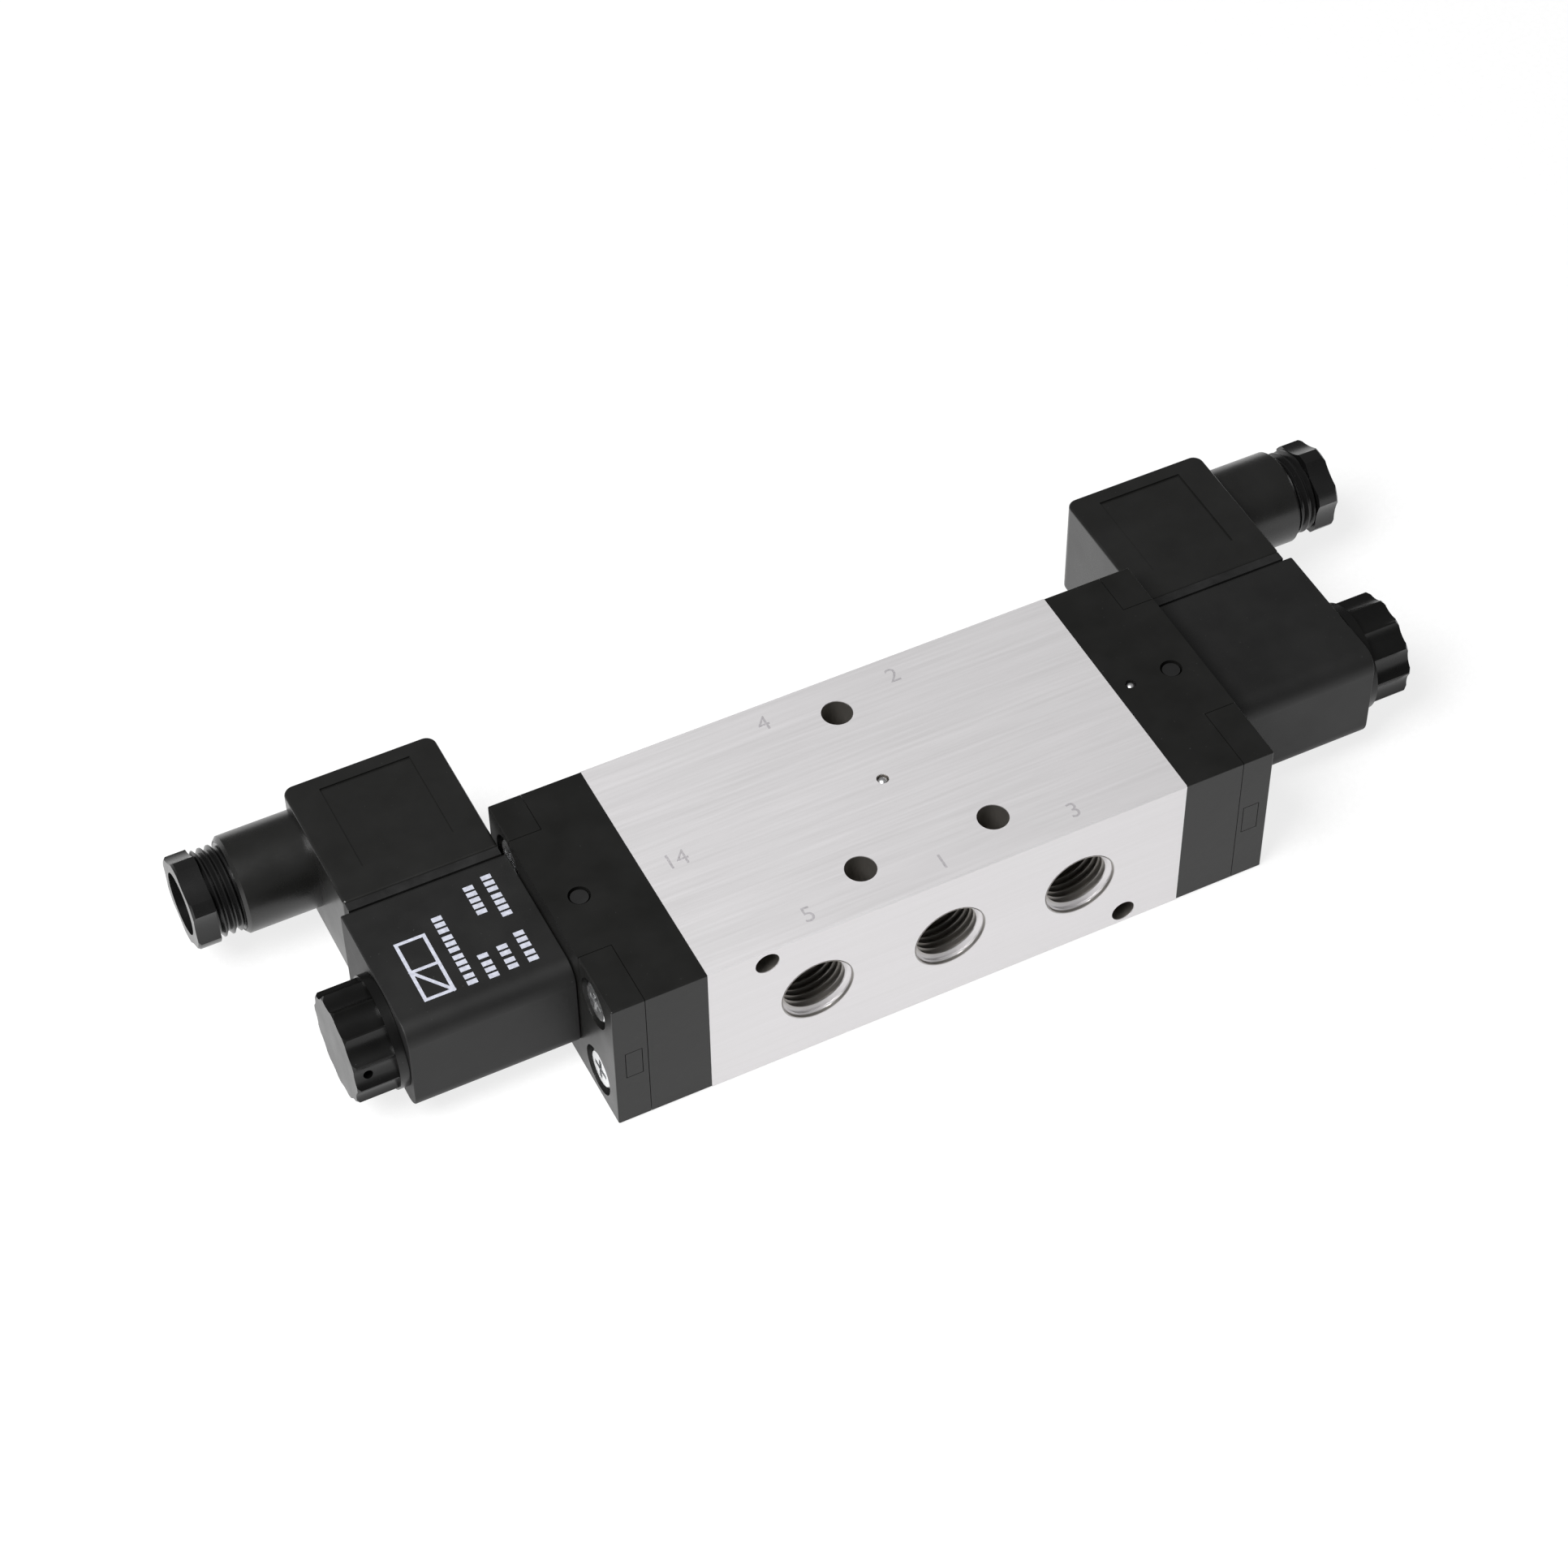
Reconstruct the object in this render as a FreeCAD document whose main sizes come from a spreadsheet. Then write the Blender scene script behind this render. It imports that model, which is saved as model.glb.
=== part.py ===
"""Double-solenoid directional valve: five ports, two positions, held in either one by friction.

X runs along the valve from the left solenoid to the right one, Y from the exhaust and supply ports
at the front to the outlets at the back, and Z is up. The origin is the centre of the body's
underside. Both ends are alike, so a distance called "out" is measured from the middle along X.
"""
import FreeCAD, Part
import math
import os
import re
import Sketcher

Vector = FreeCAD.Vector
Rotation = FreeCAD.Rotation

SIDES = {"left": -1, "right": 1}

SIZES = {
    # Body block
    "body_length": 90.0,
    "body_depth": 50.0,
    "body_height": 30.0,
    "body_edge": 0.25,
    "axis_height": 15.0,
    # Ports: G1/4, bored to the major diameter of the thread
    "port_pitch": 25.0,
    "port_bore": 13.16,
    "port_mouth": 13.6,
    "port_mouth_depth": 0.22,
    "port_depth": 12.0,
    "port_drill": 8.0,
    # Mounting holes: three upright, two across
    "mount_bore": 5.6,
    "front_mount_y": 16.1,
    "rear_mount_y": 17.0,
    "cross_bore": 4.4,
    "cross_out": 34.2,
    "cross_edge": 3.0,
    # Spool bore, port galleries and pilot drillings
    "spool_bore": 18.0,
    "gallery_bore": 21.0,
    "supply_gallery_bore": 24.6,
    "gallery_width": 5.0,
    "pilot_drill": 2.0,
    "pilot_y": 10.8,
    "pilot_z": 21.8,
    # Spool, its seals and the spacers between them
    "spool_dia": 9.0,
    "spool_half": 48.0,
    "spool_travel": 5.0,
    "neck_dia": 5.5,
    "neck_length": 12.5,
    "neck_out": 12.5,
    "neck_taper": 0.8,
    "seal_pitch": 12.5,
    "seal_width": 2.5,
    "seal_outer": 17.9,
    "seal_inner": 9.1,
    "seal_lip": 0.8,
    "seal_hollow": 11.4,
    "spacer_outer": 17.8,
    "spacer_inner": 10.6,
    "spacer_waist": 14.5,
    "spacer_waist_length": 6.0,
    "spacer_window": 4.2,
    "bush_collar": 2.5,
    # Ball plugs
    "ball_bore": 2.2,
    "ball_dia": 2.16,
    "cover_ball_bore": 1.9,
    "cover_ball_dia": 1.86,
    "cover_ball_out": 48.4,
    "ball_sink": 0.12,
    # End cover: inner block and outer plate
    "cover_inset": 0.1,
    "split_out": 56.2,
    "split_gap": 0.06,
    "cover_out": 62.2,
    "cover_edge": 0.3,
    "plate_edge": 0.25,
    "fit_gap": 0.12,
    "piston_bore": 20.0,
    "piston_bore_out": 54.6,
    "gasket_bore": 23.0,
    "gasket_thick": 0.9,
    "gasket_ear": 4.6,
    "tongue_front": 11.9,
    "tongue_back": 16.0,
    "tongue_low": 24.2,
    "boss_half": 3.0,
    "boss_low": 18.4,
    "boss_out": 58.6,
    "latch_inner": 57.3,
    "latch_outer": 60.2,
    "latch_low": 11.7,
    "latch_high": 17.8,
    "latch_skin": 0.9,
    "latch_arm": 1.2,
    "nozzle_dia": 2.8,
    "nozzle_out": 60.7,
    "nozzle_bore": 1.0,
    "slot_depth": 1.2,
    "flange_seat_dia": 16.4,
    "flange_seat_out": 59.8,
    "feed_y": 4.6,
    "feed_z": 20.9,
    "feed_bore": 1.2,
    # Cover screws
    "screw_y": 17.3,
    "screw_rise": 8.9,
    "screw_dia": 3.9,
    "screw_tap": 4.0,
    "screw_clear": 4.4,
    "screw_depth": 7.5,
    "screw_gap": 1.0,
    "screw_recess": 9.2,
    "screw_seat_out": 58.4,
    "screw_head": 8.3,
    "screw_head_height": 3.4,
    "screw_cross": 4.4,
    "screw_cross_width": 1.0,
    "screw_cross_depth": 1.5,
    # Pistons
    "piston_dia": 19.4,
    "piston_thick": 4.0,
    "piston_groove": 17.2,
    "piston_seal_width": 1.6,
    "piston_seal_outer": 19.9,
    # Manual override
    "override_out": 56.5,
    "override_bore": 3.3,
    "override_mouth": 3.9,
    "override_mouth_depth": 1.3,
    "override_floor": 19.6,
    "override_dia": 3.14,
    "override_top": 29.55,
    "override_groove_top": 27.2,
    "override_groove_low": 26.2,
    "override_groove_dia": 2.1,
    "override_seal_outer": 3.2,
    "override_shoulder": 24.2,
    "override_stem_dia": 1.5,
    "override_stem_low": 21.8,
    "override_spring_dia": 2.4,
    "override_spring_wire": 0.28,
    # Armature tube, fixed core, armature
    "tube_flange_dia": 16.0,
    "tube_flange_in": 59.9,
    "tube_flange_out": 62.1,
    "tube_relief_dia": 15.2,
    "tube_relief": 0.5,
    "tube_dia": 9.0,
    "tube_bore": 7.8,
    "tube_end": 84.0,
    "core_face": 80.6,
    "core_shoulder": 92.0,
    "stub_dia": 7.9,
    "stub_end": 99.6,
    "armature_dia": 7.64,
    "armature_in": 60.75,
    "armature_end": 79.6,
    "armature_seal_dia": 4.0,
    "armature_seal_depth": 2.0,
    "armature_pocket_dia": 4.6,
    "armature_pocket_in": 74.6,
    "armature_spring_dia": 3.5,
    "armature_spring_wire": 0.4,
    # Coil
    "coil_in": 62.3,
    "coil_out": 92.3,
    "coil_front": 10.8,
    "coil_back": 18.0,
    "coil_half_height": 10.2,
    "coil_round": 3.6,
    "coil_edge": 0.8,
    "coil_rim": 0.25,
    "coil_bore": 9.5,
    "winding_space": 18.6,
    "winding_in": 65.3,
    "winding_out": 89.3,
    "bobbin_hub": 11.2,
    "bobbin_flange": 18.4,
    "bobbin_flange_thick": 1.0,
    "bobbin_bore": 9.4,
    "winding_outer": 18.0,
    "yoke_thick": 1.8,
    "yoke_front": 9.4,
    "yoke_back": 12.4,
    "yoke_half_height": 8.6,
    "cover_gap": 0.1,
    # Coil nut
    "nut_flange_out": 94.1,
    "nut_flange_dia": 20.2,
    "nut_grip_dia": 19.5,
    "nut_out": 101.4,
    "nut_bore": 8.0,
    "nut_bore_out": 100.0,
    "nut_flutes": 12.0,
    "nut_flute_dia": 8.8,
    "nut_flute_pitch_dia": 26.3,
    "left_flute_turn": 19.0,
    "right_flute_turn": 7.5,
    "nut_edge": 0.5,
    "nut_seal_dia": 12.6,
    "nut_seal_bore": 8.6,
    "nut_seal_thick": 1.1,
    "nut_vent": 1.7,
    "nut_vent_out": 99.0,
    "nut_vent_turn": 169.0,
    # Plug connector
    "plug_in": 62.8,
    "plug_out": 90.9,
    "plug_front": 19.8,
    "plug_back": 48.4,
    "plug_half_height": 10.4,
    "plug_corner": 2.0,
    "plug_edge": 0.6,
    "plug_rim": 0.5,
    "plug_wall": 2.0,
    "plug_back_wall": 2.8,
    "panel_in": 68.3,
    "panel_out": 85.0,
    "panel_front": 26.0,
    "panel_back": 45.4,
    "panel_depth": 0.35,
    "insert_gap": 0.2,
    "insert_back": 36.0,
    "seal_sheet_margin": 0.2,
    "blade_spread": 5.5,
    "blade_thick": 0.8,
    "blade_width": 6.3,
    "blade_root": 12.9,
    "blade_tip": 27.5,
    "blade_gap": 0.15,
    "earth_drop": 7.1,
    "plug_screw_dia": 2.9,
    "plug_screw_hole": 3.4,
    "plug_screw_tap": 3.0,
    "plug_screw_head": 5.8,
    "plug_screw_head_height": 2.0,
    "plug_screw_recess": 6.4,
    "plug_screw_recess_depth": 2.3,
    "plug_screw_slot": 0.8,
    # Cable gland on the plug: M16 x 1.5 compression screw
    "gland_y": 40.9,
    "gland_dia": 17.7,
    "gland_end": 104.4,
    "gland_edge": 0.6,
    "gland_bore": 16.1,
    "gland_floor": 91.3,
    "cable_bore": 10.0,
    "gland_seal_dia": 15.8,
    "gland_seal_bore": 7.2,
    "washer_dia": 15.6,
    "washer_bore": 8.4,
    "washer_thick": 0.8,
    "thread_crest": 15.9,
    "thread_root": 14.3,
    "gland_screw_grip": 12.5,
    "gland_head": 4.1,
    "gland_head_dia": 17.0,
    "gland_head_edge": 0.4,
    "gland_lugs": 6.0,
    "gland_hollow_dia": 24.0,
    "gland_hollow_pitch_dia": 38.9,
    "left_hollow_turn": 55.0,
    "right_hollow_turn": 6.0,
    "gland_screw_bore": 11.4,
    "left_head_in": 109.2,
    "right_head_in": 108.5,
    "part_gap": 0.1,
}

doc = FreeCAD.newDocument("solenoid_valve")
sheet = doc.addObject("Spreadsheet::Sheet", "Sizes")
for row, (alias, value) in enumerate(SIZES.items(), start=1):
    sheet.set(f"A{row}", alias.replace("_", " "))
    sheet.set(f"B{row}", str(value))
    sheet.setAlias(f"B{row}", alias)
doc.recompute()

nodes = {}


def size(alias):
    """The number that the sheet holds for a size."""
    return float(sheet.get(alias))


def bind(item, prop, text):
    """Tie one property of an object to a formula of sizes in the sheet."""
    def named(word):
        return f"Sizes.{word[0]}" if word[0] in SIZES else word[0]

    item.setExpression(prop, re.sub(r"[a-z]\w*", named, str(text)))


def node(name, item):
    """Give a finished piece its name."""
    item.Label = name
    nodes[name] = item
    return item


def shifted_node(name, item):
    """Name a piece of the spool group, which rests against the left stop."""
    bind(item, "Placement.Base.x", "-spool_travel / 2")
    return node(name, item)


# ---------------------------------------------------------------- primitives and booleans

def box(low, high):
    """A block between two corners, each a triple of formulas."""
    item = doc.addObject("Part::Box", "Block")
    for axis, length, start, end in zip("xyz", ("Length", "Width", "Height"), low, high):
        bind(item, length, f"({end}) - ({start})")
        bind(item, f"Placement.Base.{axis}", start)
    return item


def side_box(side, out, deep, up):
    """A block at one end of the valve; out is measured from the middle."""
    near, far = out
    if side < 0:
        near, far = f"-({far})", f"-({near})"
    return box((near, deep[0], up[0]), (far, deep[1], up[1]))


AIM = {
    "x": Rotation(Vector(0, 1, 0), 90),
    "y": Rotation(Vector(1, 0, 0), -90),
    "z": Rotation(),
}


def cylinder(axis, dia, start, end, across):
    """A round bar along an axis, at the two other coordinates, in X, Y, Z order."""
    item = doc.addObject("Part::Cylinder", "Bar")
    bind(item, "Radius", f"({dia}) / 2")
    bind(item, "Height", f"({end}) - ({start})")
    item.Placement.Rotation = AIM[axis]
    bind(item, f"Placement.Base.{axis}", start)
    for other, place in zip("xyz".replace(axis, ""), across):
        bind(item, f"Placement.Base.{other}", place)
    return item


def side_bar(side, dia, near, far, y="0", z="axis_height"):
    """A round bar along X at one end of the valve."""
    if side < 0:
        near, far = f"-({far})", f"-({near})"
    return cylinder("x", dia, near, far, (y, z))


def cone(axis, start_dia, end_dia, start, end, across):
    """A cone along an axis, from one diameter to another."""
    item = doc.addObject("Part::Cone", "Taper")
    bind(item, "Radius1", f"({start_dia}) / 2")
    bind(item, "Radius2", f"({end_dia}) / 2")
    bind(item, "Height", f"({end}) - ({start})")
    item.Placement.Rotation = AIM[axis]
    bind(item, f"Placement.Base.{axis}", start)
    for other, place in zip("xyz".replace(axis, ""), across):
        bind(item, f"Placement.Base.{other}", place)
    return item


def side_cone(side, near_dia, far_dia, near, far, y="0", z="axis_height"):
    """A cone along X at one end of the valve."""
    if side < 0:
        return cone("x", far_dia, near_dia, f"-({far})", f"-({near})", (y, z))
    return cone("x", near_dia, far_dia, near, far, (y, z))


def fuse(*items):
    """Several shapes as one."""
    if len(items) == 1:
        return items[0]
    item = doc.addObject("Part::MultiFuse", "Joined")
    item.Shapes = list(items)
    return item


def group(*items):
    """Several separate solids in one piece list entry."""
    item = doc.addObject("Part::Compound", "Group")
    item.Links = list(items)
    return item


def cut(base, *tools):
    """A shape less its tools."""
    item = doc.addObject("Part::Cut", "Cut")
    item.Base = base
    item.Tool = fuse(*tools)
    return item


def ring(side, outer, inner, near, far, y="0", z="axis_height"):
    """A flat ring or tube along X at one end of the valve."""
    hole = side_bar(side, inner, f"({near}) - 1", f"({far}) + 1", y, z)
    return cut(side_bar(side, outer, near, far, y, z), hole)


def fluted_bar(side, dia, near, far, edge, hollow_dia, pitch_dia, count, turn, y="0"):
    """A bar along X with long hollows all round it and a chamfer at its far end."""
    bar = fuse(
        side_bar(side, dia, near, f"{far} - {edge}", y),
        side_cone(side, dia, f"{dia} - 2 * {edge}", f"{far} - {edge}", far, y),
    )
    hollows = []
    for number in range(int(size(count))):
        angle = f"({turn} + {number} * 360 / {count})"
        place = f"{y} + {pitch_dia} / 2 * cos({angle} * 1deg)"
        rise = f"axis_height + {pitch_dia} / 2 * sin({angle} * 1deg)"
        hollows.append(side_bar(side, hollow_dia, f"{near} - 1", f"{far} + 1", place, rise))
    return cut(bar, *hollows)


# ---------------------------------------------------------------- sketched bodies

def origin_plane(body, role):
    """One of a body's own origin planes."""
    return next(item for item in body.Origin.OriginFeatures if item.Role == role)


def sketch_on(body, role, offset):
    """A sketch on an origin plane, moved along its own axes by formulas."""
    sketch = body.newObject("Sketcher::SketchObject", "Sketch")
    sketch.AttachmentSupport = [(origin_plane(body, role), "")]
    sketch.MapMode = "FlatFace"
    for axis, place in zip("xyz", offset):
        bind(sketch, f"AttachmentOffset.Base.{axis}", place)
    return sketch


def measure(sketch, kind, *where, text):
    """Add a dimension to a sketch, tied to a formula."""
    number = sketch.addConstraint(Sketcher.Constraint(kind, *where, 1.0))
    bind(sketch, f"Constraints[{number}]", text)


def draw_rectangle(sketch, width, height):
    """A rectangle centred on the sketch's own origin."""
    corners = [Vector(-1, -1, 0), Vector(1, -1, 0), Vector(1, 1, 0), Vector(-1, 1, 0)]
    for here, there in zip(corners, corners[1:] + corners[:1]):
        sketch.addGeometry(Part.LineSegment(here, there), False)
    for line in range(4):
        sketch.addConstraint(Sketcher.Constraint("Coincident", line, 2, (line + 1) % 4, 1))
        sketch.addConstraint(Sketcher.Constraint("Horizontal" if line % 2 == 0 else "Vertical", line))
    sketch.addConstraint(Sketcher.Constraint("Symmetric", 0, 1, 2, 1, -1, 1))
    measure(sketch, "DistanceX", 0, 1, 0, 2, text=width)
    measure(sketch, "DistanceY", 1, 1, 1, 2, text=height)


def pad(body, sketch, length, backwards=False):
    """Raise a sketch into a solid."""
    item = body.newObject("PartDesign::Pad", "Pad")
    item.Profile = sketch
    bind(item, "Length", length)
    item.Reversed = backwards
    return item


def edges_at(shape, mark):
    """Names of the edges where two faces of a shape's own box meet, such as +y-z."""
    bounds = shape.BoundBox
    limit = {
        "+x": bounds.XMax,
        "-x": bounds.XMin,
        "+y": bounds.YMax,
        "-y": bounds.YMin,
        "+z": bounds.ZMax,
        "-z": bounds.ZMin,
    }
    faces = (mark[:2], mark[2:])
    found = []
    for number, edge in enumerate(shape.Edges, start=1):
        spots = [vertex.Point for vertex in edge.Vertexes]
        if all(abs(getattr(spot, face[1]) - limit[face]) < 1e-4 for face in faces for spot in spots):
            found.append(f"Edge{number}")
    return found


def round_edges(body, marks, radius, kind="Fillet"):
    """Round or chamfer the marked edges of a body's last feature."""
    doc.recompute()
    last = body.Tip
    names = [name for mark in marks for name in edges_at(last.Shape, mark)]
    item = body.newObject(f"PartDesign::{kind}", kind)
    item.Base = (last, names)
    bind(item, "Radius" if kind == "Fillet" else "Size", radius)
    doc.recompute()
    return item


LONG_EDGES = ("-y+z", "-y-z", "+y+z", "+y-z")


def block(low, high):
    """A padded rectangle between two corners, each a triple of formulas."""
    body = doc.addObject("PartDesign::Body", "Body")
    centre = [f"(({a}) + ({b})) / 2" for a, b in zip(low, high)]
    sketch = sketch_on(body, "XY_Plane", (centre[0], centre[1], low[2]))
    draw_rectangle(sketch, f"({high[0]}) - ({low[0]})", f"({high[1]}) - ({low[1]})")
    pad(body, sketch, f"({high[2]}) - ({low[2]})")
    return body


def side_block(side, out, deep, up):
    """A padded block at one end of the valve."""
    near, far = out
    if side < 0:
        near, far = f"-({far})", f"-({near})"
    return block((near, deep[0], up[0]), (far, deep[1], up[1]))


# ---------------------------------------------------------------- body

PORTS = {"5": (-1.0, -1), "1": (0.0, -1), "3": (1.0, -1), "4": (-0.5, 1), "2": (0.5, 1)}


def port_tools(place, face):
    """The cutting shapes of one port: mouth, threaded bore and drilling to its gallery."""
    x = f"{place} * port_pitch"
    spot = (x, "axis_height")
    surface = "body_depth / 2"
    spans = (
        ("port_bore", f"{surface} - port_depth", f"{surface} + 1"),
        ("port_drill", "spool_bore / 2 - 1", f"{surface} - port_depth + 1"),
    )
    tools = []
    for dia, inner, outer in spans:
        if face < 0:
            inner, outer = f"-({outer})", f"-({inner})"
        tools.append(cylinder("y", dia, inner, outer, spot))
    if face < 0:
        ends = ("port_mouth", "port_bore", f"-{surface}", f"-{surface} + port_mouth_depth")
    else:
        ends = ("port_bore", "port_mouth", f"{surface} - port_mouth_depth", surface)
    tools.append(cone("y", *ends, spot))
    return tools


def valve_body():
    """Aluminium block with the spool bore, five ports, mounting holes and pilot drillings."""
    half = "body_length / 2"
    base = block(
        (f"-{half}", "-body_depth / 2", "0"),
        (half, "body_depth / 2", "body_height"),
    )
    round_edges(base, LONG_EDGES, "body_edge", "Chamfer")
    tools = [cylinder("x", "spool_bore", f"-{half} - 1", f"{half} + 1", ("0", "axis_height"))]
    for name, (place, face) in PORTS.items():
        tools += port_tools(place, face)
        gallery = "supply_gallery_bore" if name == "1" else "gallery_bore"
        middle = f"{place} * port_pitch"
        ends = (f"{middle} - gallery_width / 2", f"{middle} + gallery_width / 2")
        tools.append(cylinder("x", gallery, *ends, ("0", "axis_height")))
    for x in ("-port_pitch / 2", "port_pitch / 2"):
        tools.append(cylinder("z", "mount_bore", "-1", "body_height + 1", (x, "-front_mount_y")))
    tools.append(cylinder("z", "mount_bore", "-1", "body_height + 1", ("0", "rear_mount_y")))
    for x, z in (("-cross_out", "body_height - cross_edge"), ("cross_out", "cross_edge")):
        ends = ("-body_depth / 2 - 1", "body_depth / 2 + 1")
        tools.append(cylinder("y", "cross_bore", *ends, (x, z)))
    tools.append(cylinder("x", "pilot_drill", f"-{half} - 1", f"{half} + 1", ("pilot_y", "pilot_z")))
    tools.append(cylinder("z", "ball_bore", "axis_height + gallery_bore / 2", "body_height + 1", ("0", "0")))
    for side in SIDES.values():
        for y, z in screw_places():
            tools.append(side_bar(side, "screw_tap", f"{half} - screw_depth", f"{half} + 1", y, z))
    return node("valve_body", cut(base, *tools))


def screw_places():
    """Where the four cover screws of one end run, as Y and Z formulas."""
    return [
        (f"{across} * screw_y", f"axis_height + {up} * screw_rise")
        for across in (-1, 1)
        for up in (-1, 1)
    ]


# ---------------------------------------------------------------- spool group

def spool():
    """Spool: a round bar with two necks that join neighbouring galleries."""
    bar = cylinder("x", "spool_dia", "-spool_half", "spool_half", ("0", "axis_height"))
    near, far = "(neck_out - neck_length / 2)", "(neck_out + neck_length / 2)"
    slim_near, slim_far = f"({near} + neck_taper)", f"({far} - neck_taper)"
    tools = []
    for sign in SIDES.values():
        for start, end, near_dia, far_dia in (
            (near, slim_near, "spool_dia", "neck_dia"),
            (slim_near, slim_far, "neck_dia", "neck_dia"),
            (slim_far, far, "neck_dia", "spool_dia"),
        ):
            shell = side_bar(sign, "spool_dia + 1", start, end)
            if near_dia == far_dia:
                core = side_bar(sign, near_dia, start, end)
            else:
                core = side_cone(sign, near_dia, far_dia, start, end)
            tools.append(cut(shell, core))
    return shifted_node("spool", cut(bar, *tools))


def spool_seals():
    """Six lip seals round the spool, with a hollow on one face that opens under pressure."""
    rings = []
    for step in (-2.5, -1.5, -0.5, 0.5, 1.5, 2.5):
        middle = f"{step} * seal_pitch"
        start, end = f"{middle} - seal_width / 2", f"{middle} + seal_width / 2"
        spot = ("0", "axis_height")
        tools = [cylinder("x", "seal_inner", f"{start} - 1", f"{end} + 1", spot)]
        hollow = cut(
            cylinder("x", "seal_outer - 2 * seal_lip", start, f"{start} + seal_lip", spot),
            cylinder("x", "seal_hollow", f"{start} - 1", f"{end} + 1", spot),
        )
        tools.append(hollow)
        rings.append(cut(cylinder("x", "seal_outer", start, end, spot), *tools))
    return node("spool_seals", group(*rings))


def spool_spacers():
    """Five slotted spacers that hold the seals apart and let air through to the galleries."""
    cages = []
    for step in (-2, -1, 0, 1, 2):
        middle = f"{step} * seal_pitch"
        reach = "(seal_pitch - seal_width) / 2"
        start, end = f"{middle} - {reach}", f"{middle} + {reach}"
        spot = ("0", "axis_height")
        waist = (f"{middle} - spacer_waist_length / 2", f"{middle} + spacer_waist_length / 2")
        tools = [
            cylinder("x", "spacer_inner", f"{start} - 1", f"{end} + 1", spot),
            cut(cylinder("x", "spacer_outer + 1", *waist, spot), cylinder("x", "spacer_waist", *waist, spot)),
            cylinder("y", "spacer_window", "-spacer_outer", "spacer_outer", (middle, "axis_height")),
            cylinder("z", "spacer_window", "axis_height - spacer_outer", "axis_height + spacer_outer",
                     (middle, "0")),
        ]
        cages.append(cut(cylinder("x", "spacer_outer", start, end, spot), *tools))
    return node("spool_spacers", group(*cages))


def end_bush(name, side):
    """Bush that closes the seal stack and guides the end of the spool."""
    near = "2.5 * seal_pitch + seal_width / 2"
    far = "body_length / 2"
    shell = side_bar(side, "spacer_outer", near, far)
    inside = side_bar(side, "spacer_inner", f"{near} - 1", f"{far} + 1")
    relief = side_bar(side, "spacer_waist", f"{near} + bush_collar", f"{far} + 1")
    return node(f"{name}_end_bush", cut(shell, inside, relief))


def piston(name, side):
    """Pilot piston, with a groove for its seal."""
    near, far = "spool_half", "spool_half + piston_thick"
    middle = "spool_half + piston_thick / 2"
    groove = ring(side, "piston_dia + 1", "piston_groove",
                  f"{middle} - piston_seal_width / 2", f"{middle} + piston_seal_width / 2")
    shifted_node(f"{name}_piston", cut(side_bar(side, "piston_dia", near, far), groove))
    seal = ring(side, "piston_seal_outer", "piston_groove",
                f"{middle} - piston_seal_width / 2", f"{middle} + piston_seal_width / 2")
    shifted_node(f"{name}_piston_seal", seal)


# ---------------------------------------------------------------- end covers

COVER_DEEP = ("-body_depth / 2 + cover_inset", "body_depth / 2 - cover_inset")
COVER_UP = ("cover_inset", "body_height - cover_inset")


def end_cover(name, side):
    """Inner block of an end cover: piston bore, override bore, top tongue and front latch."""
    face = "body_length / 2"
    split = "split_out - split_gap"
    base = side_block(side, (face, split), COVER_DEEP, COVER_UP)
    round_edges(base, LONG_EDGES, "cover_edge")
    top = "body_height - cover_inset"
    front = "body_depth / 2 - cover_inset"
    solids = [
        base,
        side_box(side, (f"{split} - 1", "cover_out"), ("-tongue_front", "tongue_back"), ("tongue_low", top)),
        side_box(side, (f"{split} - 1", "boss_out"),
                 ("-boss_half", "boss_half"), ("boss_low", "tongue_low + 1")),
        side_box(side, (f"{split} - 1", "latch_outer"),
                 (f"-{front} + latch_skin", f"-{front} + latch_skin + latch_arm"),
                 ("latch_low", "latch_high")),
        side_box(side, ("latch_inner", "latch_outer"),
                 (f"-({front})", f"-{front} + latch_skin"), ("latch_low", "latch_high")),
    ]
    override = (f"{side} * override_out", "0")
    tools = [
        side_bar(side, "piston_bore", f"{face} - 1", "piston_bore_out"),
        side_bar(side, "gasket_bore", f"{face} - 1", f"{face} + gasket_thick"),
        side_bar(side, "gasket_ear", f"{face} - 1", f"{face} + gasket_thick", "pilot_y", "pilot_z"),
        side_bar(side, "pilot_drill", face, "split_out", "pilot_y", "pilot_z"),
        side_bar(side, "nozzle_bore", "piston_bore_out - 1", "split_out"),
        side_bar(side, "feed_bore", "piston_bore_out - 1", "override_out", "0", "override_floor + 1.5"),
        cylinder("z", "override_bore", "override_floor", "body_height", override),
        cylinder("z", "override_mouth", f"{top} - override_mouth_depth", "body_height", override),
    ]
    for y, z in screw_places():
        tools.append(side_bar(side, "screw_clear", f"{face} - 1", "cover_out + 1", y, z))
        tools.append(side_bar(side, "screw_recess", "screw_seat_out", "cover_out + 1", y, z))
    if side > 0:
        tools.append(cylinder("z", "cover_ball_bore", "axis_height + piston_bore / 2 - 1", "body_height",
                              ("cover_ball_out", "0")))
    return node(f"{name}_end_cover", cut(fuse(*solids), *tools))


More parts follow.
